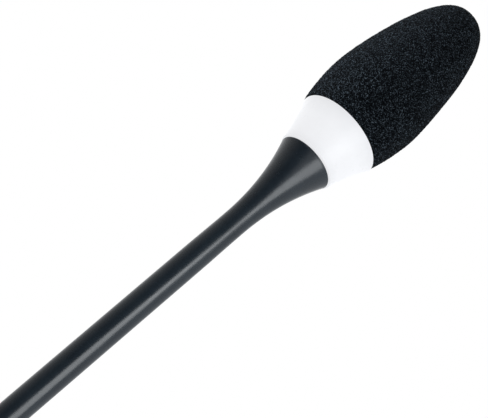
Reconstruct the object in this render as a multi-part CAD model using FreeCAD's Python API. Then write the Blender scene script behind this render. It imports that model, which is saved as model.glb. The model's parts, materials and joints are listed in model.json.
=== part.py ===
"""Desktop gooseneck microphone, in millimetres.

The base stands on z = 0 with its centre at the origin, and +Z is up. The talker sits towards -Y, where
the talk button is. The stem rises at the back of the base and its gooseneck leans the head towards -Y.

The head, the rigid tube and the gooseneck links are drawn along their own +Z and then placed.
"""
import FreeCAD
import Part
import math
import os

V = FreeCAD.Vector
UP = V(0, 0, 1)
ALONG_X = V(1, 0, 0)
ALONG_Y = V(0, 1, 0)

# ---- driving dimensions -------------------------------------------------------------------------

# base casing
BASE_W = 116.0            # along X
BASE_D = 150.0            # along Y
CORNER_R = 26.0
FRONT_H = 24.0            # height of the top face at the front edge
REAR_H = 38.0             # and at the rear edge
WALL = 2.5
TOP_ROUND = 5.0
PAD_T = 2.0               # rubber sole
PLATE_T = 4.0             # steel base plate
FIT = 0.3                 # clearance between the plate and the casing wall

# stem socket
SOCKET_Y = 40.0
TURRET_TOP = 46.0
TURRET_R = 15.0
TURRET_FOOT_R = 29.0

# gooseneck
LINKS = 10
PITCH = 12.5              # hinge to hinge
LEAN = 45.0               # lean of the head at rest, degrees from vertical
FIRST_HINGE_Z = 76.0
COIL_R = 4.6              # crest of the winding
COIL_ROOT_R = 4.1
COIL_TURNS = 5            # turns drawn on each link
LINK_GAP = 0.8            # from a hinge to the winding beside it
BALL_R = 2.6
BALL_FIT = 0.15
LEAD_BORE_R = 1.5

# rigid tube and head, measured along the stem from the light ring's foot
TUBE_R = 4.1
TUBE_LEN = 150.0          # from the gooseneck's last hinge to the housing's neck
TUBE_TAPER = 11.0         # the tube narrows to the neck's radius over its last stretch
NECK_Z = -34.0
SPIGOT_R = 3.2
SPIGOT_LEN = 24.0
HEAD_WALL = 1.2
NECK_R = 4.0
FLARE_LEN = 31.3
FLARE_R = 9.84
FLARE_POWER = 2.12
JOINT_Z = -0.32           # joint line of the housing and the light ring
RING_LEN = 13.9
RING_FOOT_R = 10.15       # proud of the housing
RING_TOP_R = 14.55
SEAM = 0.1                # half of the joint line

# foam windscreen
FOAM_BELLY_R = 16.8
FOAM_BELLY_Z = 31.4
FOAM_TIP_Z = 75.7
FOAM_TIP_RISE = 1.33      # powers of the rounded end
FOAM_TIP_BLUNT = 3.05
FOAM_FOOT_R = 14.3
FOAM_FOOT_ROUND = 1.5
FOAM_LIFT = 0.3           # clear of its seat
FOAM_BORE_R = 7.4
FOAM_BORE_TOP = 53.8

# talk button, measured in the frame of the sloping top face
BUTTON_Y = -34.0
BUTTON_R = 16.0
BUTTON_TRAVEL = 1.5
BOARD_DROP = 16.0         # from the top face down to the control board's upper side
BOARD_T = 1.6
TACT_H = 2.5              # the switch under the button, to the top of its plunger

SLOPE = math.degrees(math.atan((REAR_H - FRONT_H) / BASE_D))
MID_H = (FRONT_H + REAR_H) / 2
PLATE_TOP = PAD_T + PLATE_T
LEAN_STEP = LEAN / (LINKS + 1)


# ---- helpers ------------------------------------------------------------------------------------

def save(name, *solids):
    """Writes one node; several solids become one group of separate pieces."""
    shape = solids[0] if len(solids) == 1 else Part.makeCompound(list(solids))
    for solid in shape.Solids:
        if not solid.isValid() or solid.Volume <= 0:
            raise ValueError(f"{name} is not a sound solid")
    shape.exportStep(f"parts/{name}.step")
    print(f"{name:24s} {len(shape.Solids):3d} solids {shape.Volume:10.1f} mm3")


def disc(radius, low, high, x=0.0, y=0.0):
    return Part.makeCylinder(radius, high - low, V(x, y, low))


def tube(outer, inner, low, high, x=0.0, y=0.0):
    return disc(outer, low, high, x, y).cut(disc(inner, low - 1, high + 1, x, y))


def block(width, depth, height, centre):
    corner = centre - V(width / 2, depth / 2, height / 2)
    return Part.makeBox(width, depth, height, corner)


def polygon_face(points):
    """A face in the XZ half plane from (radius, height) points."""
    return Part.Face(Part.makePolygon([V(r, 0, z) for r, z in points + points[:1]]))


def turned(points):
    """A turned piece from its (radius, height) outline."""
    return polygon_face(points).revolve(V(0, 0, 0), UP, 360)


def turned_edges(edges):
    return Part.Face(Part.Wire(edges)).revolve(V(0, 0, 0), UP, 360)


def line(a, b):
    return Part.makeLine(V(a[0], 0, a[1]), V(b[0], 0, b[1]))


def arc(a, middle, b):
    return Part.Arc(V(a[0], 0, a[1]), V(middle[0], 0, middle[1]), V(b[0], 0, b[1])).toShape()


def curve(points):
    spline = Part.BSplineCurve()
    spline.interpolate([V(r, 0, z) for r, z in points])
    return spline.toShape()


def steps(low, high, count):
    return [low + (high - low) * i / count for i in range(count + 1)]


def rounded_block(width, depth, radius, low, high):
    """An upright block with rounded corners."""
    body = block(width, depth, high - low, V(0, 0, (low + high) / 2))
    upright = [e for e in body.Edges if abs(e.tangentAt(e.FirstParameter).z) > 0.99]
    return body.makeFillet(radius, upright)


def placed(shape, placement):
    moved = shape.copy()
    moved.Placement = placement.multiply(moved.Placement)
    return moved


def leaning(origin, degrees):
    """A frame at origin whose +Z leans towards -Y."""
    return FreeCAD.Placement(origin, FreeCAD.Rotation(ALONG_X, degrees))


def around(count, radius, start=0.0):
    """Places spaced evenly on a circle."""
    turns = [math.radians(start + 360.0 * i / count) for i in range(count)]
    return [(radius * math.cos(a), radius * math.sin(a)) for a in turns]


TOP_FACE = leaning(V(0, 0, MID_H), SLOPE)
SOCKET = FreeCAD.Placement(V(0, SOCKET_Y, 0), FreeCAD.Rotation())


# ---- gooseneck line -----------------------------------------------------------------------------

def hinge_points():
    """The hinge points up the gooseneck, from the plug to the rigid tube."""
    points = [V(0, SOCKET_Y, FIRST_HINGE_Z)]
    for i in range(1, LINKS + 1):
        lean = math.radians(LEAN_STEP * i)
        points.append(points[-1] + V(0, -math.sin(lean), math.cos(lean)) * PITCH)
    return points


HINGES = hinge_points()
TUBE_FOOT_Z = NECK_Z - TUBE_LEN
HEAD = leaning(HINGES[-1], LEAN).multiply(FreeCAD.Placement(V(0, 0, -TUBE_FOOT_Z), FreeCAD.Rotation()))


# ---- base ---------------------------------------------------------------------------------------

def below_top(solid, drop):
    """Trims a solid along the sloping top face, lowered by drop."""
    cutter = block(400, 400, 100, V(0, 0, 50 - drop))
    return solid.cut(placed(cutter, TOP_FACE))


def turret(radius_in, top):
    """The flared rise under the stem, drawn on the socket's axis, with its radii reduced by radius_in."""
    foot_r, head_r = TURRET_FOOT_R - radius_in, TURRET_R - radius_in
    foot_z = MID_H - 4
    middle = (head_r + 0.27 * (foot_r - head_r), foot_z + 0.36 * (top - foot_z))
    edges = [
        line((0, foot_z - 3), (foot_r, foot_z - 3)),
        line((foot_r, foot_z - 3), (foot_r, foot_z)),
        arc((foot_r, foot_z), middle, (head_r, top)),
        line((head_r, top), (0, top)),
        line((0, top), (0, foot_z - 3)),
    ]
    return placed(turned_edges(edges), SOCKET)


CASE_BOSSES = [(x, y) for x in (-42.0, 42.0) for y in (-59.0, 59.0)]
BOARD_W, BOARD_D, BOARD_Y = 76.0, 68.0, -20.0
HEADER_Y, HEADER_D = 6.0, 5.0
BOARD_BOSSES = [(x, BOARD_Y + y) for x in (-33.0, 33.0) for y in (-29.0, 29.0)]
REAR_BOARD_Z = 14.0
USB_X = -14.0
SWITCH_X = 16.0
PORT_Z = REAR_BOARD_Z + BOARD_T + 1.7
REAR_Y = BASE_D / 2


def base_shell():
    outer = below_top(rounded_block(BASE_W, BASE_D, CORNER_R, PAD_T, 60), 0)
    rim = [e for e in outer.Edges if e.BoundBox.ZMin > FRONT_H - 1]
    outer = outer.makeFillet(TOP_ROUND, rim).fuse(turret(0, TURRET_TOP))
    inside = rounded_block(BASE_W - 2 * WALL, BASE_D - 2 * WALL, CORNER_R - WALL, PAD_T - 1, 60)
    inside = below_top(inside, WALL).fuse(turret(WALL, TURRET_TOP - 3))
    shell = outer.cut(inside)
    for x, y in CASE_BOSSES:
        boss = below_top(disc(4.0, PLATE_TOP, 40, x, y), WALL - 0.5)
        shell = shell.fuse(boss).cut(disc(1.25, PLATE_TOP - 1, PLATE_TOP + 10, x, y))
    for x, y in BOARD_BOSSES:
        shell = shell.fuse(placed(disc(3.0, -BOARD_DROP, -WALL + 0.5, x, y), TOP_FACE))
        shell = shell.cut(placed(disc(1.0, -BOARD_DROP - 1, -BOARD_DROP + 8, x, y), TOP_FACE))
    shell = shell.cut(placed(disc(BUTTON_R + 4.05, -WALL - 1, 5, 0, BUTTON_Y), TOP_FACE))
    shell = shell.cut(disc(9.1, TURRET_TOP - 8, TURRET_TOP + 1, 0, SOCKET_Y))
    usb_hole = stadium(9.5, 3.8, 12, USB_X, REAR_Y + 1)
    slot = stadium(6.6, 2.6, 12, SWITCH_X, REAR_Y + 1)
    return shell.cut(usb_hole).cut(slot)


def stadium(width, height, length, x, y_face):
    """A round-ended bar along Y that ends at y_face, centred on the rear ports' height."""
    radius = height / 2
    half = width / 2 - radius
    bar = block(2 * half, length, height, V(x, y_face - length / 2, PORT_Z))
    for side in (-half, half):
        end = Part.makeCylinder(radius, length, V(x + side, y_face, PORT_Z), V(0, -1, 0))
        bar = bar.fuse(end)
    return bar.removeSplitter()


def base_plate():
    inset = WALL + FIT
    plate = rounded_block(BASE_W - 2 * inset, BASE_D - 2 * inset, CORNER_R - inset, PAD_T, PLATE_TOP)
    for x, y in CASE_BOSSES:
        head = Part.makeCone(3.2, 1.7, 1.8, V(x, y, PAD_T))
        plate = plate.cut(disc(1.7, 0, 10, x, y)).cut(head)
    return plate


def case_screw(x, y):
    head = Part.makeCone(3.0, 1.5, 1.6, V(x, y, PAD_T + 0.1))
    shank = disc(1.5, PAD_T + 0.1, PLATE_TOP, x, y).fuse(disc(1.2, PLATE_TOP, PLATE_TOP + 8, x, y))
    cross = block(2.6, 0.6, 1.6, V(x, y, PAD_T)).fuse(block(0.6, 2.6, 1.6, V(x, y, PAD_T)))
    return head.fuse(shank).cut(cross)


def board_screw(x, y):
    low = -BOARD_DROP - BOARD_T
    head = disc(2.0, low - 1.3, low - 0.02, x, y)
    shank = disc(0.95, low - 0.5, -BOARD_DROP + 6, x, y)
    cross = block(2.4, 0.5, 1.2, V(x, y, low - 1.3)).fuse(block(0.5, 2.4, 1.2, V(x, y, low - 1.3)))
    return placed(head.fuse(shank).cut(cross), TOP_FACE)


def control_board():
    low = -BOARD_DROP - BOARD_T
    board = block(BOARD_W, BOARD_D, BOARD_T, V(0, BOARD_Y, low + BOARD_T / 2))
    for x, y in BOARD_BOSSES:
        board = board.cut(disc(1.1, low - 1, 0, x, y))
    return placed(board, TOP_FACE)


def board_chips():
    """The processor, the audio converter, the socket lead's header and the regulator."""
    low = -BOARD_DROP + 0.01
    header = (11, HEADER_D, 6.0, 0, HEADER_Y)
    packages = [(9, 9, 1.0, -24, -2), (7, 7, 1.0, -26, -26), (6, 4, 1.6, 27, -24)]
    return [placed(block(w, d, h, V(x, y, low + h / 2)), TOP_FACE) for w, d, h, x, y in [header, *packages]]


def tact_switch():
    low = -BOARD_DROP + 0.01
    body = block(6, 6, 1.9, V(0, BUTTON_Y, low + 0.95))
    return placed(body.fuse(disc(1.7, low + 1.8, low + TACT_H, 0, BUTTON_Y)), TOP_FACE)


def button_leds():
    low = -BOARD_DROP + 0.01
    return [placed(block(2.0, 2.0, 0.8, V(x, BUTTON_Y + y, low + 0.4)), TOP_FACE)
            for x, y in around(6, BUTTON_R + 2.2, 30)]


def talk_button():
    """A dished cap with a skirt, a catch flange under the light ring and a post over the switch."""
    r = BUTTON_R
    post_end = -BOARD_DROP + TACT_H + BUTTON_TRAVEL + 0.03
    edges = [
        arc((0, 0.5), (r * 0.5, 0.72), (r - 1.6, 1.4)),
        arc((r - 1.6, 1.4), (r - 0.45, 1.1), (r, 0.2)),
        line((r, 0.2), (r, -4.75)),
        line((r, -4.75), (r + 1.4, -4.75)),
        line((r + 1.4, -4.75), (r + 1.4, -6)),
        line((r + 1.4, -6), (r - 1.6, -6)),
        line((r - 1.6, -6), (r - 1.6, -1.2)),
        line((r - 1.6, -1.2), (2.5, -1.2)),
        line((2.5, -1.2), (2.5, post_end)),
        line((2.5, post_end), (0, post_end)),
        line((0, post_end), (0, 0.5)),
    ]
    return placed(turned_edges(edges), button_frame())


def button_frame():
    return TOP_FACE.multiply(FreeCAD.Placement(V(0, BUTTON_Y, 0), FreeCAD.Rotation()))


def button_light_ring():
    r = BUTTON_R
    outline = [(r + 0.4, -4.6), (r + 5.4, -4.6), (r + 5.4, -WALL - 0.05), (r + 4, -WALL - 0.05),
               (r + 4, 0.1), (r + 3.6, 0.5), (r + 0.8, 0.5), (r + 0.4, 0.1)]
    return placed(turned(outline), button_frame())


def button_carrier():
    """The cup that holds the light ring against the casing and guides the button's post."""
    r = BUTTON_R
    outline = [(2.6, -12), (r + 7, -12), (r + 7, -WALL - 0.05), (r + 5.5, -WALL - 0.05), (r + 5.5, -4.65),
               (r + 3.2, -4.65), (r + 3.2, -10.6), (4.5, -10.6), (4.5, -9.4), (2.6, -9.4)]
    cup = turned(outline)
    for x, y in around(6, BUTTON_R + 0.8, 30):
        cup = cup.cut(disc(1.8, -13, -10, x, y))
    return placed(cup, button_frame())


def button_dome():
    """The silicone dome that lifts the cap back after a press."""
    outside = [(13.9, -10.55), (13.9, -9.6), (11.9, -9.6), (7.4, -3.2), (7.4, -1.25)]
    inside = [(4.6, -1.25), (4.6, -2.4), (6.6, -3.5), (11.0, -9.8), (11.0, -10.55)]
    return placed(turned(outside + inside), button_frame())


# ---- rear connectors ----------------------------------------------------------------------------

def rear_board():
    board = block(58, 20, BOARD_T, V(0, REAR_Y - WALL - 11, REAR_BOARD_Z + BOARD_T / 2))
    for x in (-24, 24):
        board = board.cut(disc(1.1, 0, 30, x, REAR_Y - WALL - 15))
    return board


def rear_spacers():
    return [tube(2.5, 1.05, PLATE_TOP, REAR_BOARD_Z, x, REAR_Y - WALL - 15) for x in (-24, 24)]


def rear_screws():
    top = REAR_BOARD_Z + BOARD_T
    return [disc(2.0, top, top + 1.4, x, REAR_Y - WALL - 15).fuse(
        disc(1.0, top - 5, top + 0.5, x, REAR_Y - WALL - 15)) for x in (-24, 24)]


def usb_socket():
    face = REAR_Y - 0.4
    shell = stadium(9.1, 3.4, 7.6, USB_X, face).cut(stadium(8.4, 2.7, 7.0, USB_X, face))
    shell = shell.cut(stadium(8.4, 2.7, 2.0, USB_X, face + 0.5))
    tongue = block(6.6, 6.4, 0.7, V(USB_X, face - 4.2, PORT_Z))
    return shell.fuse(tongue)


def mode_switch_body():
    body = block(9.0, 4.0, 3.3, V(SWITCH_X, REAR_Y - WALL - 2.3, PORT_Z - 0.05))
    return body.cut(block(6.4, 3.0, 2.2, V(SWITCH_X, REAR_Y - WALL - 0.8, PORT_Z)))


def mode_switch_slider():
    knob = block(2.6, 5.6, 1.9, V(SWITCH_X - 1.6, REAR_Y - 0.9, PORT_Z))
    return knob.makeChamfer(0.3, [e for e in knob.Edges if e.BoundBox.YMin > REAR_Y + 1.8])


# ---- stem socket and plug -----------------------------------------------------------------------

def hexagon(across, low, high):
    corners = [V(x, y, low) for x, y in around(6, across / math.sqrt(3))]
    face = Part.Face(Part.makePolygon(corners + corners[:1]))
    return face.extrude(V(0, 0, high - low))


def knurled_ring():
    """The locking ring: a knurled nut with an inward lip over the plug's flange."""
    outline = [(9.2, 47.9), (11.6, 47.9), (12.2, 48.5), (12.2, 57.6), (11.2, 58.9), (6.7, 58.9),
               (6.7, 56.4), (9.2, 56.4)]
    ring = turned(outline)
    grooves = [disc(0.55, 49.6, 56.6, x, y) for x, y in around(36, 12.45)]
    return placed(ring.cut(Part.makeCompound(grooves)), SOCKET)


def socket_bushing():
    outline = [(7.0, 30), (9.0, 30), (9.0, TURRET_TOP + 0.02), (12.6, TURRET_TOP + 0.02), (13.0, 46.6),
               (13.0, 47.3), (12.6, 47.7), (9.0, 47.7), (9.0, 55.0), (7.0, 55.0)]
    return placed(turned(outline), SOCKET)


def plug_shell():
    """The stem's lower ferrule: the plug barrel, its flange and the taper up to the first hinge ball."""
    top = FIRST_HINGE_Z - LINK_GAP
    edges = [
        line((5.7, 38), (6.9, 38)),
        line((6.9, 38), (6.9, 55.05)),
        line((6.9, 55.05), (8.8, 55.05)),
        line((8.8, 55.05), (8.8, 56.3)),
        line((8.8, 56.3), (6.5, 56.3)),
        line((6.5, 56.3), (6.5, 60.5)),
        arc((6.5, 60.5), (5.4, 65.5), (4.9, 71.2)),
        line((4.9, 71.2), (4.9, top - 0.5)),
        line((4.9, top - 0.5), (4.4, top)),
        line((4.4, top), (1.9, top)),
        *ball_top(FIRST_HINGE_Z, top),
        line((LEAD_BORE_R, ball_top_z(FIRST_HINGE_Z)), (LEAD_BORE_R, 60)),
        line((LEAD_BORE_R, 60), (5.7, 54)),
        line((5.7, 54), (5.7, 38)),
    ]
    return placed(turned_edges(edges), SOCKET)


def ball_top_z(hinge_z):
    return hinge_z + math.sqrt(BALL_R ** 2 - LEAD_BORE_R ** 2)


def ball_top(hinge_z, top):
    """Outline of the ball that carries the next link, from its neck to the lead's bore."""
    neck_r = 1.9
    start = (neck_r, hinge_z - math.sqrt(BALL_R ** 2 - neck_r ** 2))
    first = [line((neck_r, top), start)] if start[1] > top + 0.01 else []
    if not first:
        start = (math.sqrt(BALL_R ** 2 - (hinge_z - top) ** 2), top)
        first = [line((neck_r, top), start)]
    return first + [arc(start, (BALL_R, hinge_z), (LEAD_BORE_R, ball_top_z(hinge_z)))]


def plug_insulator():
    body = disc(5.65, 38.5, 43, 0, SOCKET_Y)
    for x, y in around(3, 3.2, 90):
        body = body.cut(disc(0.8, 30, 50, x, SOCKET_Y + y))
    return body


def plug_pins():
    return [disc(0.8, 31, 44.5, x, SOCKET_Y + y) for x, y in around(3, 3.2, 90)]


def socket_insulator():
    body = disc(6.95, 27, 37.8, 0, SOCKET_Y)
    for x, y in around(3, 3.2, 90):
        body = body.cut(disc(1.3, 29, 40, x, SOCKET_Y + y)).cut(disc(0.6, 20, 40, x, SOCKET_Y + y))
    return body


def socket_contacts():
    """Spring sleeves that grip the pins, with solder tails below."""
    return [tube(1.28, 0.86, 29.02, 37, x, SOCKET_Y + y).fuse(disc(0.58, 24, 29.4, x, SOCKET_Y + y)).fuse(
        disc(1.28, 29.02, 29.6, x, SOCKET_Y + y)) for x, y in around(3, 3.2, 90)]


def socket_lead():
    """The wires from the socket's tails to the header on the control board, as one sleeve."""
    radius, bend, top, low = 1.1, 4.0, 23.9, 19.2
    header = TOP_FACE.multVec(V(0, HEADER_Y + HEADER_D / 2 + 0.15, -BOARD_DROP + 3))
    turn = math.sqrt(0.5)
    middle = V(0, SOCKET_Y - bend + bend * turn, low + bend - bend * turn)
    path = Part.Wire([
        Part.makeLine(V(0, SOCKET_Y, top), V(0, SOCKET_Y, low + bend)),
        Part.Arc(V(0, SOCKET_Y, low + bend), middle, V(0, SOCKET_Y - bend, low)).toShape(),
        Part.makeLine(V(0, SOCKET_Y - bend, low), V(0, header.y, low)),
    ])
    section = Part.Wire(Part.makeCircle(radius, V(0, SOCKET_Y, top), V(0, 0, -1)))
    return path.makePipeShell([section], True, False)


# ---- gooseneck ----------------------------------------------------------------------------------

def coil_outline(low, high, turns):
    """Arcs for the crests of the winding, from low to high."""
    pitch = (high - low) / turns
    arcs = []
    for i in range(turns):
        start = low + i * pitch
        arcs.append(arc((COIL_ROOT_R, start), (COIL_R, start + pitch / 2), (COIL_ROOT_R, start + pitch)))
    return arcs


def gooseneck_link():
    """A short length of the winding, with a socket for the ball below and a ball for the link above."""
    low, high = LINK_GAP, PITCH - LINK_GAP
    socket_r = BALL_R + BALL_FIT
    mouth = math.sqrt(socket_r ** 2 - low ** 2)
    slant = math.sqrt(0.5) * socket_r
    ceiling = math.sqrt(socket_r ** 2 - LEAD_BORE_R ** 2)
    edges = [
        line((mouth, low), (COIL_ROOT_R, low)),
        *coil_outline(low, high, COIL_TURNS),
        line((COIL_ROOT_R, high), (1.9, high)),
        *ball_top(PITCH, high),
        line((LEAD_BORE_R, ball_top_z(PITCH)), (LEAD_BORE_R, ceiling)),
        arc((LEAD_BORE_R, ceiling), (slant, slant), (mouth, low)),
    ]
    return turned_edges(edges)


def upper_ferrule():
    """Joins the gooseneck's top to the rigid tube; drawn on the head's axis."""
    low = TUBE_FOOT_Z
    socket_r = BALL_R + BALL_FIT
    foot = low + LINK_GAP
    mouth = math.sqrt(socket_r ** 2 - LINK_GAP ** 2)
    slant = math.sqrt(0.5) * socket_r
    ceiling = math.sqrt(socket_r ** 2 - LEAD_BORE_R ** 2)
    edges = [
        line((mouth, foot), (4.4, foot)),
        line((4.4, foot), (4.9, foot + 0.5)),
        line((4.9, foot + 0.5), (4.9, foot + 12)),
        line((4.9, foot + 12), (4.5, foot + 13)),
        line((4.5, foot + 13), (TUBE_R + 0.02, foot + 13)),
        line((TUBE_R + 0.02, foot + 13), (TUBE_R + 0.02, foot + 5)),
        line((TUBE_R + 0.02, foot + 5), (LEAD_BORE_R, foot + 5)),
        line((LEAD_BORE_R, foot + 5), (LEAD_BORE_R, low + ceiling)),
        arc((LEAD_BORE_R, low + ceiling), (slant, low + slant), (mouth, foot)),
    ]
    return turned_edges(edges)


# ---- head ---------------------------------------------------------------------------------------

def stem_tube():
    foot = TUBE_FOOT_Z + LINK_GAP + 5.05
    end = NECK_Z - 0.03
    outline = [(2.4, foot), (TUBE_R, foot), (TUBE_R, end - TUBE_TAPER), (NECK_R, end),
               (SPIGOT_R - 0.01, end), (SPIGOT_R - 0.01, NECK_Z + SPIGOT_LEN), (2.4, NECK_Z + SPIGOT_LEN)]
    return turned(outline)


def flare_r(z):
    """Outer radius of the flared housing at height z."""
    share = max(0.0, (z + FLARE_LEN) / FLARE_LEN)
    return NECK_R + (FLARE_R - NECK_R) * share ** FLARE_POWER


def head_housing():
    lip = 0.7
    end = JOINT_Z - SEAM
    inner_low = -FLARE_LEN * (1 - ((SPIGOT_R + HEAD_WALL - NECK_R) / (FLARE_R - NECK_R)) ** (1 / FLARE_POWER))
    outside = [(flare_r(z), z) for z in steps(-FLARE_LEN, end - lip, 8)]
    inside = [(flare_r(z) - HEAD_WALL, z) for z in steps(inner_low, end, 7)]
    edge_r = flare_r(end - lip)
    edges = [
        line((SPIGOT_R, NECK_Z), (NECK_R, NECK_Z)),
        line((NECK_R, NECK_Z), outside[0]),
        curve(outside),
        arc((edge_r, end - lip), (edge_r + 0.05, end - 0.25 * lip), (edge_r - 0.45, end)),
        line((edge_r - 0.45, end), inside[-1]),
        curve(inside),
        line(inside[0], (SPIGOT_R, NECK_Z)),
    ]
    return turned_edges(edges)


def light_ring():
    foot, top = JOINT_Z + SEAM, RING_LEN
    edge, rim = 0.3, 0.4
    low_skin = (RING_FOOT_R, foot + edge)
    high_skin = (RING_TOP_R, top - rim)
    edges = [
        arc((RING_FOOT_R - edge, foot), (RING_FOOT_R - 0.29 * edge, foot + 0.29 * edge), low_skin),
        line(low_skin, high_skin),
        arc(high_skin, (RING_TOP_R - 0.29 * rim, top - 0.29 * rim), (RING_TOP_R - rim, top)),
    ]
    seat = [(RING_TOP_R - rim, top), (12.6, top), (12.6, top - 2), (12.0, top - 2)]
    boss = [(7.7, 1.3), (5.7, 1.3), (5.7, -4.0), (6.85, -4.0), (6.85, foot), (RING_FOOT_R - edge, foot)]
    corners = seat + boss
    edges += [line(a, b) for a, b in zip(corners, corners[1:])]
    return turned_edges(edges)


def head_core():
    """The turned sleeve on the tube's end that carries the housing, the light ring and the seat plate."""
    seat = NECK_Z + SPIGOT_LEN + 0.05
    outline = [(2.2, seat), (SPIGOT_R, seat), (SPIGOT_R, -13), (4.4, -13), (4.6, -12), (4.6, -6), (6.0, -6),
               (6.0, -4.1), (4.6, -4.1), (4.6, 1.35), (5.4, 1.35), (5.4, 1.95), (4.6, 1.95), (4.6, RING_LEN),
               (2.2, RING_LEN)]
    return turned(outline)


def led_board():
    return tube(7.3, 4.65, 2.0, 3.0)


def head_leds():
    return [block(1.4, 1.4, 0.7, V(x, y, 3.36)) for x, y in around(6, 6.1)]


def seat_plate():
    return tube(12.55, 4.65, RING_LEN - 1.95, RING_LEN)


def capsule_grille():
    """The slotted cage round the capsule, with a domed and drilled top."""
    foot, shoulder = RING_LEN + 0.02, 46.0
    dome_r, wall = 7.0, 0.8
    edges = [
        line((6.2, foot), (8.2, foot)),
        line((8.2, foot), (8.2, foot + 0.8)),
        line((8.2, foot + 0.8), (dome_r, foot + 0.8)),
        line((dome_r, foot + 0.8), (dome_r, shoulder)),
        arc((dome_r, shoulder), (dome_r * 0.7071, shoulder + dome_r * 0.7071), (0, shoulder + dome_r)),
        line((0, shoulder + dome_r), (0, shoulder + dome_r - wall)),
        arc((0, shoulder + dome_r - wall), ((dome_r - wall) * 0.7071, shoulder + (dome_r - wall) * 0.7071),
            (dome_r - wall, shoulder)),
        line((dome_r - wall, shoulder), (6.2, foot)),
    ]
    cage = turned_edges(edges)
    for row in range(3):
        middle = V(0, 0, 21.5 + row * 10.5)
        for i in range(4):
            slot = block(20, 2.4, 8.0, middle)
            slot.rotate(middle, UP, 45.0 * i)
            cage = cage.cut(slot)
    for x, y in around(6, 3.4) + [(0, 0)]:
        cage = cage.cut(disc(0.9, 47, 56, x, y))
    return cage


def grille_gauze():
    return tube(6.15, 5.95, RING_LEN + 0.1, 46.0)


def capsule_cradle():
    """The rubber boot that holds the capsule inside the cage."""
    outline = [(3.0, 34), (5.9, 34), (5.9, 36), (5.5, 36.5), (5.5, 42.5), (5.9, 43), (5.9, 44.5),
               (4.86, 44.5), (4.86, 38.0), (3.0, 38.0)]
    return turned(outline)


def capsule_can():
    """The capsule's case, crimped at the back, with sound holes in its face."""
    outline = [(3.4, 38.3), (4.8, 38.3), (4.8, 45.2), (0, 45.2), (0, 44.8), (4.45, 44.8), (4.45, 38.7),
               (3.4, 38.7)]
    can = turned(outline)
    for x, y in around(6, 2.4) + [(0, 0)]:
        can = can.cut(disc(0.45, 44, 46, x, y))
    return can


def mic_lead():
    return disc(1.3, TUBE_FOOT_Z + 6.2, 38.0)


# ---- windscreen ---------------------------------------------------------------------------------

def foam_r(z):
    """Outer radius of the windscreen at height z."""
    if z < FOAM_BELLY_Z:
        share = (FOAM_BELLY_Z - z) / (FOAM_BELLY_Z - RING_LEN)
        return FOAM_BELLY_R - (FOAM_BELLY_R - FOAM_FOOT_R) * share ** 2
    share = (z - FOAM_BELLY_Z) / (FOAM_TIP_Z - FOAM_BELLY_Z)
    return FOAM_BELLY_R * (1 - min(1.0, share) ** FOAM_TIP_RISE) ** (1 / FOAM_TIP_BLUNT)


def windscreen():
    """The foam ball, hollow where it slips over the cage."""
    foot, rounding = RING_LEN + FOAM_LIFT, FOAM_FOOT_ROUND
    lower = [(foam_r(z), z) for z in steps(foot + rounding, FOAM_BELLY_Z, 4)]
    spread = [1 - (1 - s) ** 3 for s in steps(0, 1, 12)]
    upper = [(foam_r(z), z) for z in (FOAM_BELLY_Z + (FOAM_TIP_Z - FOAM_BELLY_Z) * s for s in spread)]
    bore_top, bore_r = FOAM_BORE_TOP, FOAM_BORE_R
    corner_r = lower[0][0] - rounding
    edges = [
        line((8.6, foot), (corner_r, foot)),
        arc((corner_r, foot), (corner_r + 0.7071 * rounding, foot + 0.2929 * rounding), lower[0]),
        curve(lower[:-1] + upper),
        line((0, FOAM_TIP_Z), (0, bore_top)),
        arc((0, bore_top), (bore_r * 0.7071, bore_top - bore_r * 0.2929), (bore_r, bore_top - bore_r)),
        line((bore_r, bore_top - bore_r), (bore_r, foot + 1.2)),
        line((bore_r, foot + 1.2), (8.6, foot + 1.2)),
        line((8.6, foot + 1.2), (8.6, foot)),
    ]
    return turned_edges(edges)


# ---- build --------------------------------------------------------------------------------------

def build_base():
    pad_inset = WALL + 2
    save("sole_pad", rounded_block(BASE_W - 2 * pad_inset, BASE_D - 2 * pad_inset, CORNER_R - pad_inset,
                                   0, PAD_T))
    save("base_plate", base_plate())
    save("base_shell", base_shell())
    save("case_screws", *[case_screw(x, y) for x, y in CASE_BOSSES])
    save("control_board", control_board())
    save("board_screws", *[board_screw(x, y) for x, y in BOARD_BOSSES])
    save("board_chips", *board_chips())
    save("tact_switch", tact_switch())
    save("button_leds", *button_leds())
    save("talk_button", talk_button())
    save("button_light_ring", button_light_ring())
    save("button_carrier", button_carrier())
    save("button_dome", button_dome())
    save("rear_board", rear_board())
    save("rear_spacers", *rear_spacers())
    save("rear_screws", *rear_screws())
    save("usb_socket", usb_socket())
    save("mode_switch_body", mode_switch_body())
    save("mode_switch_slider", mode_switch_slider())


def build_socket():
    save("socket_bushing", socket_bushing())
    save("bushing_washer", tube(12.0, 9.1, 41.98, 42.98, 0, SOCKET_Y))
    nut = hexagon(21.0, 38.9, 41.96).cut(disc(9.05, 30, 50))
    save("bushing_nut", placed(nut, SOCKET))
    save("socket_insulator", socket_insulator())
    save("socket_contacts", *socket_contacts())
    save("socket_lead", socket_lead())
    save("plug_shell", plug_shell())
    save("plug_insulator", plug_insulator())
    save("plug_pins", *plug_pins())
    save("locking_ring", knurled_ring())


def build_gooseneck():
    link = gooseneck_link()
    for i in range(LINKS):
        save(f"gooseneck_link_{i + 1:02d}", placed(link, leaning(HINGES[i], LEAN_STEP * (i + 1))))


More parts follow.
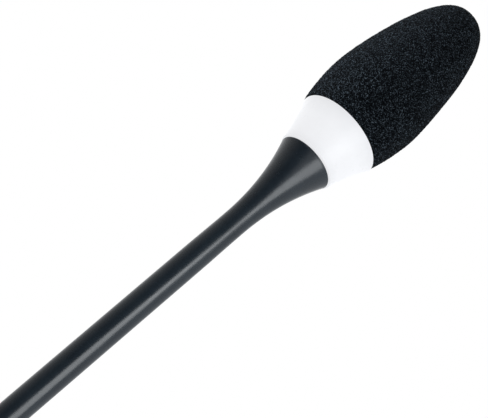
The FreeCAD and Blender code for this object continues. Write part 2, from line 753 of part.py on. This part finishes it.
def build_head():
    pieces = {
        "upper_ferrule": upper_ferrule(),
        "stem_tube": stem_tube(),
        "head_housing": head_housing(),
        "light_ring": light_ring(),
        "head_core": head_core(),
        "led_board": led_board(),
        "seat_plate": seat_plate(),
        "capsule_grille": capsule_grille(),
        "grille_gauze": grille_gauze(),
        "capsule_cradle": capsule_cradle(),
        "capsule_can": capsule_can(),
        "capsule_diaphragm": disc(4.4, 44.3, 44.4),
        "capsule_backplate": tube(4.2, 0.4, 42.9, 43.9),
        "capsule_board": disc(4.4, 38.75, 39.75),
        "mic_lead": mic_lead(),
        "windscreen": windscreen(),
    }
    for name, shape in pieces.items():
        save(name, placed(shape, HEAD))
    save("head_leds", *[placed(led, HEAD) for led in head_leds()])


def main():
    os.makedirs("parts", exist_ok=True)
    build_base()
    build_socket()
    build_gooseneck()
    build_head()


main()
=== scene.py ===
"""Looks for the desktop gooseneck microphone.

Everything is in metres, in the model's own frame: the base stands on z = 0, and the head leans towards -Y.
The head's own pieces are drawn along the head's axis, from the joint line of its housing and light ring.
"""
import json
import math

import bpy
import numpy as np
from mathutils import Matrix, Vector, noise

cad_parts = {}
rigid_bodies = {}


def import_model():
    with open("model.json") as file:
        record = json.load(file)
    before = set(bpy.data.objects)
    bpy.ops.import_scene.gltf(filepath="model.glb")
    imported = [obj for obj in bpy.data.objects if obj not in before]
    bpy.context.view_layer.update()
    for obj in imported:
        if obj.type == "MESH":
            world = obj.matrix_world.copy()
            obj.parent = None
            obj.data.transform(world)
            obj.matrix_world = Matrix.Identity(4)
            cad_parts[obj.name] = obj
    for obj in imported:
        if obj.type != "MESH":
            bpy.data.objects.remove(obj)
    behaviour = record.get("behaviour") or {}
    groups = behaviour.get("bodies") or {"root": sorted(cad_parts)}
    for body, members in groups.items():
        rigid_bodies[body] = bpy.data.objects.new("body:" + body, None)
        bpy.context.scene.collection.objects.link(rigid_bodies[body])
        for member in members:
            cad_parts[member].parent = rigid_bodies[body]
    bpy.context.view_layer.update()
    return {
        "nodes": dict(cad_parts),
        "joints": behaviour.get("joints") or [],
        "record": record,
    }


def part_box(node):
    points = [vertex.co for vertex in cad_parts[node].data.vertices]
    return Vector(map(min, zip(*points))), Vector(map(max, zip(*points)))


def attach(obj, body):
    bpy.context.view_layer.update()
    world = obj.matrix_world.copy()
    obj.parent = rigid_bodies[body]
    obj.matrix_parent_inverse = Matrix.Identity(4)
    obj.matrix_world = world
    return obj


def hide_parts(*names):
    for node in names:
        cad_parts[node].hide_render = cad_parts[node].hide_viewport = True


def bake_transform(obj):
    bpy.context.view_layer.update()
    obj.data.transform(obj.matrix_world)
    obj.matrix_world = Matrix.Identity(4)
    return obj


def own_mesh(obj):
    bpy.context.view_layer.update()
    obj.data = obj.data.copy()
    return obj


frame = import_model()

MM = 0.001

# ---- driving dimensions -------------------------------------------------------------------------

# light ring: share of its height and how strongly it glows there; the glow is painted light in place of the
# light its white plastic gives back, and the dimmer foot and top are painted shade where it meets the cone
# and the foam
RING_TOP_Z = 13.9 * MM
RING_PAINTED_LIGHT = (0.0, 0.93), (0.14, 0.985), (0.38, 1.0), (0.58, 1.0), (0.8, 0.955), (1.0, 0.885)
RING_PAINTED_LIGHT_TINT = 0.975, 0.98, 1.0

# foam windscreen; its outside sits a little to one side of the cage it grips
FOAM_FOOT_R = 14.3 * MM
FOAM_FOOT_ROUND = 1.5 * MM
FOAM_BELLY_R = 16.8 * MM
FOAM_BELLY_Z = 31.4 * MM
FOAM_TIP_Z = 75.7 * MM
FOAM_TIP_POWERS = 1.33, 1 / 3.05
FOAM_BORE_R = 7.4 * MM
FOAM_BORE_TOP = 53.8 * MM
FOAM_BORE_CHAMFER = 1.2 * MM
FOAM_OFFSET = 0.35 * MM, 0.75 * MM    # at its foot and at its tip
FOAM_OFFSET_WAY = -0.235, 0.687, 0.687
FOAM_CELL = 0.66 * MM
FOAM_PIT = 0.42 * MM
FOAM_PIT_LEVEL = 0.45                 # share of a pit that lies above the outline
FOAM_STRUT = 0.45                     # where a cell's mouth begins, as a share of the cell
FOAM_LUMP, FOAM_LUMP_SIZE = 0.12 * MM, 7 * MM
FOAM_GRIT, FOAM_GRIT_SIZE = 0.15 * MM, 0.4 * MM
FOAM_TIP_RELIEF = 0.35                # share of the relief that is left at the tip

# mesh of the foam
FOAM_STEP = 0.34 * MM
FOAM_BORE_STEP = 1.4 * MM
FOAM_COLUMNS = 320
FOAM_END_R = 0.05 * MM                # the first and the last row of points, each closed by a fan

WINDING_CREST_R = 4.6 * MM
WINDING_ROOT_R = 4.1 * MM
WINDING_BORE_R = 3.5 * MM
TURNS_PER_LINK = 6
WINDING_COLUMNS = 48
WINDING_ROWS_PER_TURN = 10
FERRULE_GAP = 0.8 * MM                # between the winding's ends and the ferrules

NECK_FOOT_Z = 60 * MM                 # all that ends below this stands on the desk with the base
FLOOR_HALF = 3.0

# camera: how far the light ring's foot lies in front of it, to its right and above its axis
CAMERA_PITCH = math.radians(25.42)
CAMERA_HEADING = math.radians(-82.15)
SEAM_DEPTH = 448 * MM
SEAM_RIGHT = 18.58 * MM
SEAM_ABOVE = 14.21 * MM
LENS = 110.7
SENSOR_WIDTH = 36

# lights: direction from the head, distance, size, power and colour
LIGHTS = {
    "key": ((-0.563, -0.816, -0.121), 0.9, (0.66, 0.60), 2.8, (0.95, 0.98, 1.0)),
    "low_fill": ((-0.687, -0.464, -0.562), 0.34, (0.22, 0.24), 0.62, (0.95, 0.98, 1.0)),
    "ceiling": ((0.10, 0.45, 0.88), 1.8, (2.0, 2.0), 22, (0.98, 0.99, 1.0)),
    "foam_edge": ((-0.278, 0.678, 0.682), 0.5, (0.35, 0.35), 5.0, (0.93, 0.97, 1.0)),
}

# surroundings: the way to their bright side, and their strength from the dark side to the bright one
WORLD_WAY = 0.811, 0.048, 0.583
WORLD_SPAN = -0.42, 1.0
WORLD_STRENGTH = 0.03, 0.98
WORLD_COLOUR = 0.97, 0.985, 1.0, 1


# ---- where things are ---------------------------------------------------------------------------

JOINTS = {joint["name"]: joint for joint in frame["joints"]}
HINGE_NAMES = [name for name in JOINTS if name.startswith("gooseneck_")]
HINGES = [Vector(JOINTS[name]["pos_m"]) for name in HINGE_NAMES]
NECK_BODIES = [JOINTS[HINGE_NAMES[0]]["parent"]] + [JOINTS[name]["child"] for name in HINGE_NAMES]

SIDE = Vector((1, 0, 0))
HEAD_AXIS = Vector(JOINTS["windscreen_pull"]["axis"]).normalized()
HEAD_BACK = HEAD_AXIS.cross(SIDE)


def reach_along_head(node):
    """How far a node goes up the head's axis from the last hinge."""
    corners = [vertex.co - HINGES[-1] for vertex in frame["nodes"][node].data.vertices]
    return max(corner.dot(HEAD_AXIS) for corner in corners)


SEAM = HINGES[-1] + HEAD_AXIS * (reach_along_head("head_core") - RING_TOP_Z)


def head_point(x, y, z):
    return SEAM + SIDE * x + HEAD_BACK * y + HEAD_AXIS * z


# ---- node helpers -------------------------------------------------------------------------------

def new_material(name, **sockets):
    """A material with one Principled shader, with the named sockets set on it."""
    material = bpy.data.materials.new(name)
    material.use_nodes = True
    shader = material.node_tree.nodes["Principled BSDF"]
    for socket, value in sockets.items():
        shader.inputs[socket.replace("_", " ")].default_value = value
    return material


def add(material, kind, **settings):
    node = material.node_tree.nodes.new(kind)
    for key, value in settings.items():
        if hasattr(node, key):
            setattr(node, key, value)
        else:
            node.inputs[key.replace("_", " ")].default_value = value
    return node


def join(material, source, target):
    material.node_tree.links.new(source, target)


def place(material):
    """The piece's own coordinates, which stay with it as it moves."""
    return add(material, "ShaderNodeTexCoord").outputs["Object"]


def grain(material, size, detail=2.0, roughness=0.5):
    """Noise whose features are about size across."""
    node = add(material, "ShaderNodeTexNoise", Scale=1 / size, Detail=detail, Roughness=roughness)
    join(material, place(material), node.inputs["Vector"])
    return node.outputs["Fac"]


def spread(material, value, low, high, start=0.3, end=0.7):
    """Maps value from start..end to low..high."""
    node = add(material, "ShaderNodeMapRange", From_Min=start, From_Max=end, To_Min=low, To_Max=high)
    join(material, value, node.inputs["Value"])
    return node.outputs["Result"]


def colour_between(material, value, dark, light, start=0.3, end=0.7):
    ramp = add(material, "ShaderNodeValToRGB")
    ramp.color_ramp.elements[0].position = start
    ramp.color_ramp.elements[0].color = (*dark, 1)
    ramp.color_ramp.elements[1].position = end
    ramp.color_ramp.elements[1].color = (*light, 1)
    join(material, value, ramp.inputs["Fac"])
    return ramp.outputs["Color"]


def shader_of(material):
    return material.node_tree.nodes["Principled BSDF"]


def set_colour(material, colour):
    join(material, colour, shader_of(material).inputs["Base Color"])


def set_roughness(material, value):
    join(material, value, shader_of(material).inputs["Roughness"])


def set_bump(material, height, depth, strength=1.0):
    """Adds height as relief of that depth, on top of any relief already there."""
    shader = shader_of(material)
    node = add(material, "ShaderNodeBump", Strength=strength, Distance=depth)
    join(material, height, node.inputs["Height"])
    if shader.inputs["Normal"].is_linked:
        join(material, shader.inputs["Normal"].links[0].from_socket, node.inputs["Normal"])
    join(material, node.outputs["Normal"], shader.inputs["Normal"])


# ---- materials ----------------------------------------------------------------------------------

def satin_black(name, dark, light, smooth, rough, texture=0.25 * MM, relief=0.004 * MM):
    """Black paint or moulded plastic: fine grain, uneven gloss and faint handling marks."""
    material = new_material(name)
    set_colour(material, colour_between(material, grain(material, 9 * MM, 4), dark, light))
    marks = grain(material, 3 * MM, 6, 0.65)
    set_roughness(material, spread(material, marks, smooth, rough))
    set_bump(material, grain(material, texture, 2), relief)
    return material


def moulded_plastic(name, dark, light, smooth, rough, relief=0.02 * MM):
    """A spark-finished moulding, with its small even pits."""
    material = satin_black(name, dark, light, smooth, rough, 0.45 * MM, relief)
    pits = add(material, "ShaderNodeTexVoronoi", Scale=1 / (0.6 * MM))
    join(material, place(material), pits.inputs["Vector"])
    set_bump(material, pits.outputs["Distance"], 0.5 * relief)
    return material


def white_diffuser():
    """Translucent white plastic, a little glossy and clouded by its filler, with a painted glow in place of
    the light it gives back, dimmer at its foot and top as painted shade.
    """
    material = new_material("white_diffuser", Roughness=0.32, IOR=1.38, Specular_IOR_Level=0.3,
                            Subsurface_Weight=0.4, Subsurface_Scale=4 * MM, Emission_Strength=0.835)
    shader_of(material).inputs["Subsurface Radius"].default_value = (1.0, 1.0, 1.1)
    # painted glow up the ring's height: painted light, dimmer at the foot and the top as painted shade
    along = add(material, "ShaderNodeVectorMath", operation="DOT_PRODUCT")
    join(material, place(material), along.inputs[0])
    along.inputs[1].default_value = HEAD_AXIS
    foot = SEAM.dot(HEAD_AXIS)
    height = spread(material, along.outputs["Value"], 0.0, 1.0, foot, foot + RING_TOP_Z)
    glow = add(material, "ShaderNodeValToRGB")
    join(material, height, glow.inputs["Fac"])
    for position, _ in RING_PAINTED_LIGHT[1:-1]:
        glow.color_ramp.elements.new(position)
    for element, (position, share) in zip(glow.color_ramp.elements, RING_PAINTED_LIGHT):
        element.position = position
        element.color = (*(tint * share for tint in RING_PAINTED_LIGHT_TINT), 1)
    join(material, glow.outputs["Color"], shader_of(material).inputs["Emission Color"])
    clouds = grain(material, 6 * MM, 3)
    # a dark base colour, so that the painted glow carries most of the ring's white
    set_colour(material, colour_between(material, clouds, (0.075, 0.080, 0.090), (0.095, 0.100, 0.110)))
    set_roughness(material, spread(material, grain(material, 2 * MM, 4), 0.26, 0.38))
    set_bump(material, grain(material, 0.8 * MM, 2), 0.003 * MM)
    return material


def cell_shade(material, size, power):
    """A random shade for each cell about size across, with fewer light cells the higher the power."""
    cells = add(material, "ShaderNodeTexVoronoi", Scale=1 / size)
    join(material, place(material), cells.inputs["Vector"])
    pick = add(material, "ShaderNodeSeparateColor")
    join(material, cells.outputs["Color"], pick.inputs["Color"])
    rare = add(material, "ShaderNodeMath", operation="POWER")
    join(material, pick.outputs["Red"], rare.inputs[0])
    rare.inputs[1].default_value = power
    return rare.outputs["Value"]


def open_foam():
    """Black reticulated foam: cut cells in its relief, and a colour speckled cell by cell, with rare light
    cells as painted glints on the struts and near-black ones as painted shade in the cell mouths.
    """
    material = new_material("open_foam", Specular_IOR_Level=0.02, Sheen_Weight=0.004, Sheen_Roughness=0.3)
    brightest = 1.4
    # painted speckle: rare light cells are painted glints, the near-black rest painted shade in the pits,
    # with the shader's own gloss and sheen nearly off
    shade = add(material, "ShaderNodeMath", operation="MULTIPLY")
    join(material, cell_shade(material, 0.22 * MM, 7.0), shade.inputs[0])
    patches = spread(material, cell_shade(material, 0.50 * MM, 1.0), 0.4, brightest, 0.0, 1.0)
    join(material, patches, shade.inputs[1])
    set_colour(material, colour_between(material, shade.outputs["Value"], (0.0003, 0.0008, 0.0014),
                                        (0.072, 0.092, 0.112), 0.0, brightest))
    cells = add(material, "ShaderNodeTexVoronoi", feature="DISTANCE_TO_EDGE", Scale=1 / (0.42 * MM))
    join(material, place(material), cells.inputs["Vector"])
    set_roughness(material, spread(material, grain(material, 0.5 * MM, 2), 0.45, 0.85))
    set_bump(material, spread(material, cells.outputs["Distance"], 1.0, 0.0, 0.02, 0.22), 0.16 * MM, 0.9)
    return material


def brushed_metal(name, dark, light, smooth=0.22, rough=0.4):
    material = new_material(name, Metallic=1.0)
    stretch = add(material, "ShaderNodeMapping")
    stretch.inputs["Scale"].default_value = (400, 400, 6000)
    join(material, place(material), stretch.inputs["Vector"])
    lines = add(material, "ShaderNodeTexNoise", Scale=1.0, Detail=4.0)
    join(material, stretch.outputs["Vector"], lines.inputs["Vector"])
    set_colour(material, colour_between(material, lines.outputs["Fac"], dark, light))
    set_roughness(material, spread(material, lines.outputs["Fac"], smooth, rough))
    set_bump(material, lines.outputs["Fac"], 0.004 * MM)
    return material


def rubber(name, dark, light):
    material = new_material(name, Specular_IOR_Level=0.3)
    set_colour(material, colour_between(material, grain(material, 2.5 * MM, 5), dark, light))
    set_roughness(material, spread(material, grain(material, 1.5 * MM, 3), 0.6, 0.85))
    set_bump(material, grain(material, 0.7 * MM, 3), 0.05 * MM)
    return material


def circuit_board():
    """Green solder mask with faint copper runs under it."""
    material = new_material("circuit_board", Roughness=0.35, IOR=1.5)
    runs = add(material, "ShaderNodeTexBrick", Scale=1 / (5 * MM), Mortar_Size=0.06)
    join(material, place(material), runs.inputs["Vector"])
    green, copper = (0.008, 0.05, 0.03), (0.02, 0.11, 0.06)
    set_colour(material, colour_between(material, runs.outputs["Fac"], green, copper, 0.0, 1.0))
    set_bump(material, runs.outputs["Fac"], 0.03 * MM)
    return material


def lamp_lens():
    material = new_material("lamp_lens", Roughness=0.2, Emission_Strength=0.6)
    shader_of(material).inputs["Emission Color"].default_value = (1.0, 0.97, 0.86, 1)
    phosphor = grain(material, 0.5 * MM)
    set_colour(material, colour_between(material, phosphor, (0.8, 0.74, 0.45), (0.92, 0.9, 0.8)))
    return material


def make_materials():
    """One material for each slot of the record, as name, dark and light colour, least and most roughness."""
    black_dark, black_light = (0.010, 0.015, 0.021), (0.014, 0.021, 0.028)
    return {
        "base_shell": moulded_plastic("casing_black", (0.010, 0.011, 0.013), (0.016, 0.017, 0.020),
                                      0.42, 0.56),
        "rubber": rubber("sole_rubber", (0.010, 0.010, 0.011), (0.022, 0.022, 0.024)),
        "silicone": rubber("silicone", (0.42, 0.43, 0.44), (0.55, 0.56, 0.57)),
        "steel": brushed_metal("steel", (0.42, 0.43, 0.44), (0.62, 0.63, 0.65)),
        "circuit_board": circuit_board(),
        "dark_plastic": moulded_plastic("dark_plastic", (0.014, 0.015, 0.017), (0.024, 0.025, 0.028),
                                        0.4, 0.6),
        "light_diffuser": white_diffuser(),
        "led": lamp_lens(),
        "button_cap": moulded_plastic("button_grey", (0.030, 0.032, 0.036), (0.042, 0.045, 0.050),
                                      0.38, 0.5, relief=0.012 * MM),
        "contact_brass": brushed_metal("contact_brass", (0.62, 0.42, 0.14), (0.80, 0.60, 0.26)),
        "stem_black": satin_black("stem_black", black_dark, black_light, 0.20, 0.27),
        "gooseneck_black": satin_black("gooseneck_black", (0.007, 0.0075, 0.0085), (0.012, 0.013, 0.015),
                                       0.3, 0.42),
        "head_black": satin_black("head_black", black_dark, black_light, 0.22, 0.29),
        "core_alloy": brushed_metal("core_alloy", (0.6, 0.61, 0.63), (0.75, 0.76, 0.78)),
        "capsule_metal": brushed_metal("capsule_metal", (0.68, 0.69, 0.7), (0.82, 0.83, 0.84), 0.12, 0.25),
        "film": satin_black("capsule_film", (0.6, 0.5, 0.25), (0.75, 0.66, 0.38), 0.1, 0.2),
        "lead_sheath": rubber("lead_sheath", (0.012, 0.012, 0.013), (0.022, 0.022, 0.024)),
        "foam": open_foam(),
    }


def paint_cad(materials):
    """Every CAD node gets the material of its slot."""
    slots = {part["node"]: part["material_slot"] for part in frame["record"]["subparts"]}
    for name, node in frame["nodes"].items():
        for own_slot in node.material_slots:
            own_slot.material = materials[slots[name]]


# ---- meshes -------------------------------------------------------------------------------------

def new_piece(name, vertices, faces, material):
    mesh = bpy.data.meshes.new(name)
    mesh.from_pydata([tuple(v) for v in vertices], [], faces)
    mesh.validate()
    mesh.polygons.foreach_set("use_smooth", [True] * len(mesh.polygons))
    mesh.materials.append(material)
    piece = bpy.data.objects.new(name, mesh)
    bpy.context.scene.collection.objects.link(piece)
    return piece


def band_faces(rows, columns, closed_rows=False):
    """Quads between rows of points that go round, row by row."""
    faces = []
    for i in range(rows if closed_rows else rows - 1):
        below, above = i * columns, (i + 1) % rows * columns
        for j in range(columns):
            k = (j + 1) % columns
            faces.append((below + j, below + k, above + k, above + j))
    return faces


def spaced(points, step):
    """Points every step or so along a line through (radius, height) points."""
    points = np.array(points)
    lengths = np.r_[0, np.cumsum(np.linalg.norm(np.diff(points, axis=0), axis=1))]
    at = np.linspace(0, lengths[-1], max(2, round(lengths[-1] / step) + 1))
    return np.c_[np.interp(at, lengths, points[:, 0]), np.interp(at, lengths, points[:, 1])]


def foam_outside():
    """The windscreen's outline from its tip to its foot."""
    rise, round_off = FOAM_TIP_POWERS
    share = 1 - (1 - np.linspace(1, 0, 400)) ** 3
    upper = np.c_[FOAM_BELLY_R * (1 - share ** rise) ** round_off,
                  FOAM_BELLY_Z + (FOAM_TIP_Z - FOAM_BELLY_Z) * share]
    foot = RING_TOP_Z + FOAM_FOOT_ROUND
    heights = np.linspace(FOAM_BELLY_Z, foot, 60)[1:]
    drop = (FOAM_BELLY_Z - heights) / (FOAM_BELLY_Z - RING_TOP_Z)
    lower = np.c_[FOAM_BELLY_R - (FOAM_BELLY_R - FOAM_FOOT_R) * drop ** 2, heights]
    turn = np.linspace(0, math.pi / 2, 8)[1:]
    rim = np.c_[lower[-1, 0] - FOAM_FOOT_ROUND * (1 - np.cos(turn)), foot - FOAM_FOOT_ROUND * np.sin(turn)]
    return np.r_[upper, lower, rim]


def foam_inside():
    """Its underside and the bore that slips over the cage, from the foot up to the bore's end."""
    bore, top = FOAM_BORE_R, FOAM_BORE_TOP
    turn = np.linspace(0, math.pi / 2, 12)
    dome = np.c_[bore * np.cos(turn), top - bore + bore * np.sin(turn)]
    dome[-1, 0] = FOAM_END_R
    foot = [(foam_outside()[-1, 0], RING_TOP_Z), (bore + FOAM_BORE_CHAMFER, RING_TOP_Z),
            (bore, RING_TOP_Z + FOAM_BORE_CHAMFER)]
    return np.r_[foot, dome]


def cell_relief(point):
    """Height of cut open cells at a point: 0 on the struts and -1 in the cell mouths."""
    near, second = noise.voronoi(point / FOAM_CELL)[0][:2]
    return -min(1.0, (second - near) / FOAM_STRUT)


def foam_windscreen(material):
    """The foam windscreen, with every cut cell on its surface."""
    outside = spaced(foam_outside(), FOAM_STEP)
    outside[0, 0] = FOAM_END_R
    inside = spaced(foam_inside(), FOAM_BORE_STEP)[1:]
    profile = np.r_[outside, inside]
    columns = FOAM_COLUMNS
    calm_r = 2.5 * FOAM_STEP * columns / math.tau     # inside this radius the columns crowd together
    angles = np.linspace(0, math.tau, columns, endpoint=False)
    slopes = np.gradient(profile, axis=0)
    normals = np.c_[-slopes[:, 1], slopes[:, 0]]
    normals /= np.linalg.norm(normals, axis=1)[:, None]
    shares = np.interp(profile[:, 1], (RING_TOP_Z, FOAM_TIP_Z), (0, 1))
    offsets = FOAM_OFFSET[0] + (FOAM_OFFSET[1] - FOAM_OFFSET[0]) * shares
    offsets[len(outside):] = 0
    sideways = Vector(FOAM_OFFSET_WAY)
    vertices = []
    for (radius, height), (out, up), offset in zip(profile, normals, offsets):
        away = min(1.0, radius / calm_r)
        strength = FOAM_TIP_RELIEF + (1 - FOAM_TIP_RELIEF) * away
        for angle in angles:
            c, s = math.cos(angle), math.sin(angle)
            spot = head_point(radius * c, radius * s, height) + sideways * offset
            facing = SIDE * (out * c) + HEAD_BACK * (out * s) + HEAD_AXIS * up
            lumps = noise.noise(spot / FOAM_LUMP_SIZE) * FOAM_LUMP
            pits = FOAM_PIT * (cell_relief(spot) + FOAM_PIT_LEVEL)
            grit = noise.noise(spot / FOAM_GRIT_SIZE) * FOAM_GRIT
            vertices.append(spot + facing * (lumps + (pits + grit) * strength))
    faces = band_faces(len(profile), columns)
    tip, end = len(vertices), len(vertices) + 1
    vertices += [head_point(0, 0, FOAM_TIP_Z) + sideways * FOAM_OFFSET[1], head_point(0, 0, FOAM_BORE_TOP)]
    last = (len(profile) - 1) * columns
    faces += [(tip, (j + 1) % columns, j) for j in range(columns)]
    faces += [(end, last + j, last + (j + 1) % columns) for j in range(columns)]
    piece = new_piece("foam_windscreen", vertices, faces, material)
    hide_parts("windscreen")
    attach(piece, "windscreen")
    return piece


# ---- talk button --------------------------------------------------------------------------------

def silicone_dome(material):
    """The spring dome under the talk button, a copy of its CAD node kept on the talk button joint's parent
    body.
    """
    node = frame["nodes"]["button_dome"]
    piece = bpy.data.objects.new("silicone_dome", node.data.copy())
    piece.data.materials.clear()
    piece.data.materials.append(material)
    bpy.context.scene.collection.objects.link(piece)
    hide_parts("button_dome")
    press = JOINTS["talk_press"]
    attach(piece, press["parent"])
    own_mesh(piece)


# ---- gooseneck ----------------------------------------------------------------------------------

PITCH = (HINGES[1] - HINGES[0]).length
LEAN = math.acos(HEAD_AXIS.z)
LEAN_STEP = LEAN / len(HINGES)
BEND_R = PITCH / 2 / math.tan(LEAN_STEP / 2)
BEND_FOOT = HINGES[0] - Vector((0, 0, PITCH / 2))
BEND_CENTRE = BEND_FOOT - Vector((0, BEND_R, 0))


def bend_frame(lean):
    """A point of the gooseneck's centre line, with the direction across it."""
    across = Vector((0, math.cos(lean), math.sin(lean)))
    return BEND_CENTRE + across * BEND_R, across


def winding_r(turns, angle):
    """Radius of the wound wire's surface, as a ridge that climbs one pitch a turn."""
    phase = (turns - angle / math.tau) % 1.0
    ridge = math.sqrt(max(0.0, 1 - (2 * phase - 1) ** 2))
    return WINDING_ROOT_R + (WINDING_CREST_R - WINDING_ROOT_R) * ridge


def winding_span(index, start, end, material):
    """The winding from one lean to another, bending over one hinge, with its bore."""
    rows = round((end - start) / LEAN_STEP * TURNS_PER_LINK * WINDING_ROWS_PER_TURN) + 1
    leans = np.linspace(start, end, rows)
    angles = np.linspace(0, math.tau, WINDING_COLUMNS, endpoint=False)
    vertices = []
    for bore in (False, True):
        for lean in (leans[::-1] if bore else leans):
            centre, across = bend_frame(lean)
            turns = lean / LEAN_STEP * TURNS_PER_LINK
            for angle in angles:
                radius = WINDING_BORE_R if bore else winding_r(turns, angle)
                x, y = radius * math.cos(angle), radius * math.sin(angle)
                vertices.append(centre + SIDE * x + across * y)
    faces = band_faces(2 * rows, WINDING_COLUMNS, closed_rows=True)
    piece = new_piece(f"gooseneck_winding_{index:02d}", vertices, faces, material)
    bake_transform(piece)
    return piece


def gooseneck(material):
    """One stretch of winding for each hinge, from the middle of one link to the middle of the next."""
    first = math.asin((PITCH / 2 - FERRULE_GAP) / BEND_R)
    last = LEAN - first
    leans = [first] + [LEAN_STEP * i for i in range(1, len(HINGES))] + [last]
    spans = [winding_span(i, leans[i], leans[i + 1], material) for i in range(len(HINGES))]
    for span, link in zip(spans, NECK_BODIES[1:-1]):
        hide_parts(link.replace("link", "gooseneck_link"))


# ---- stage --------------------------------------------------------------------------------------

def camera_axes():
    """The camera's right, up and forward directions."""
    right = Vector((-math.cos(CAMERA_HEADING), math.sin(CAMERA_HEADING), 0))
    level = Vector((-right.y, right.x, 0))
    forward = level * math.cos(CAMERA_PITCH) + Vector((0, 0, math.sin(CAMERA_PITCH)))
    return right, right.cross(forward), forward


def make_camera():
    right, up, forward = camera_axes()
    camera = bpy.data.cameras.new("camera")
    camera.lens = LENS
    camera.sensor_width = SENSOR_WIDTH
    camera.clip_start, camera.clip_end = 0.01, 50
    holder = bpy.data.objects.new("camera", camera)
    bpy.context.scene.collection.objects.link(holder)
    holder.location = SEAM - forward * SEAM_DEPTH - right * SEAM_RIGHT - up * SEAM_ABOVE
    holder.rotation_mode = "QUATERNION"
    holder.rotation_quaternion = forward.to_track_quat("-Z", "Y")
    bpy.context.scene.camera = holder


def area_light(name):
    """A soft box that shines at the head from its direction."""
    direction, distance, size, power, colour = LIGHTS[name]
    light = bpy.data.lights.new(name, "AREA")
    light.shape = "RECTANGLE"
    light.size, light.size_y = size
    light.energy = power
    light.color = colour
    holder = bpy.data.objects.new(name, light)
    bpy.context.scene.collection.objects.link(holder)
    direction = Vector(direction).normalized()
    holder.location = SEAM + direction * distance
    holder.rotation_mode = "QUATERNION"
    holder.rotation_quaternion = (-direction).to_track_quat("-Z", "Y")
    holder.visible_camera = False
    return holder


def reach(light, pieces, state):
    """Makes a light leave these pieces out, or light nothing else."""
    group = bpy.data.collections.new(f"{light.name}_{state.lower()}")
    for piece in pieces:
        group.objects.link(piece)
    for member in group.collection_objects:
        member.light_linking.link_state = state
    light.light_linking.receiver_collection = group


def make_floor():
    material = bpy.data.materials.new("floor")
    material.use_nodes = True
    shader_of(material).inputs["Roughness"].default_value = 0.7
    cloudy = grain(material, 0.4, 2)
    set_colour(material, colour_between(material, cloudy, (0.86, 0.87, 0.88), (0.89, 0.895, 0.90)))
    corners = [(x * FLOOR_HALF, y * FLOOR_HALF, 0) for x, y in ((-1, -1), (1, -1), (1, 1), (-1, 1))]
    mesh = bpy.data.meshes.new("floor")
    mesh.from_pydata(corners, [], [(0, 1, 2, 3)])
    mesh.materials.append(material)
    floor = bpy.data.objects.new("floor", mesh)
    bpy.context.scene.collection.objects.link(floor)
    return floor


def make_world():
    """A white studio that is white to the camera and lights the object from one bright side."""
    world = bpy.data.worlds.new("studio")
    bpy.context.scene.world = world
    world.use_nodes = True
    tree = world.node_tree
    tree.nodes.clear()
    new = tree.nodes.new
    ways = new("ShaderNodeTexCoord")
    facing = new("ShaderNodeVectorMath")
    facing.operation = "DOT_PRODUCT"
    facing.inputs[1].default_value = WORLD_WAY
    glow = new("ShaderNodeMapRange")
    for socket, value in zip(("From Min", "From Max", "To Min", "To Max"), WORLD_SPAN + WORLD_STRENGTH):
        glow.inputs[socket].default_value = value
    rays = new("ShaderNodeLightPath")
    lit = new("ShaderNodeBackground")
    seen = new("ShaderNodeBackground")
    mix = new("ShaderNodeMixShader")
    out = new("ShaderNodeOutputWorld")
    lit.inputs["Color"].default_value = WORLD_COLOUR
    seen.inputs["Color"].default_value = (1, 1, 1, 1)
    links = tree.links.new
    links(ways.outputs["Generated"], facing.inputs[0])
    links(facing.outputs["Value"], glow.inputs["Value"])
    links(glow.outputs["Result"], lit.inputs["Strength"])
    links(rays.outputs["Is Camera Ray"], mix.inputs["Fac"])
    links(lit.outputs["Background"], mix.inputs[1])
    links(seen.outputs["Background"], mix.inputs[2])
    links(mix.outputs["Shader"], out.inputs["Surface"])


def make_studio():
    bpy.context.scene.view_settings.view_transform = "Standard"
    make_camera()
    make_world()
    floor = make_floor()
    for name in ("key", "low_fill"):
        reach(area_light(name), [floor], "EXCLUDE")
    return floor


def light_parts(floor, foam):
    """A ceiling light for the base and the floor, and an edge light for the foam."""
    desk_level = [node for name, node in frame["nodes"].items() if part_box(name)[1][2] < NECK_FOOT_Z]
    reach(area_light("ceiling"), [floor] + desk_level, "INCLUDE")
    reach(area_light("foam_edge"), [foam], "INCLUDE")


# ---- build --------------------------------------------------------------------------------------

FLOOR = make_studio()
MATERIALS = make_materials()
paint_cad(MATERIALS)
FOAM = foam_windscreen(MATERIALS["foam"])
silicone_dome(MATERIALS["silicone"])
gooseneck(MATERIALS["gooseneck_black"])
light_parts(FLOOR, FOAM)
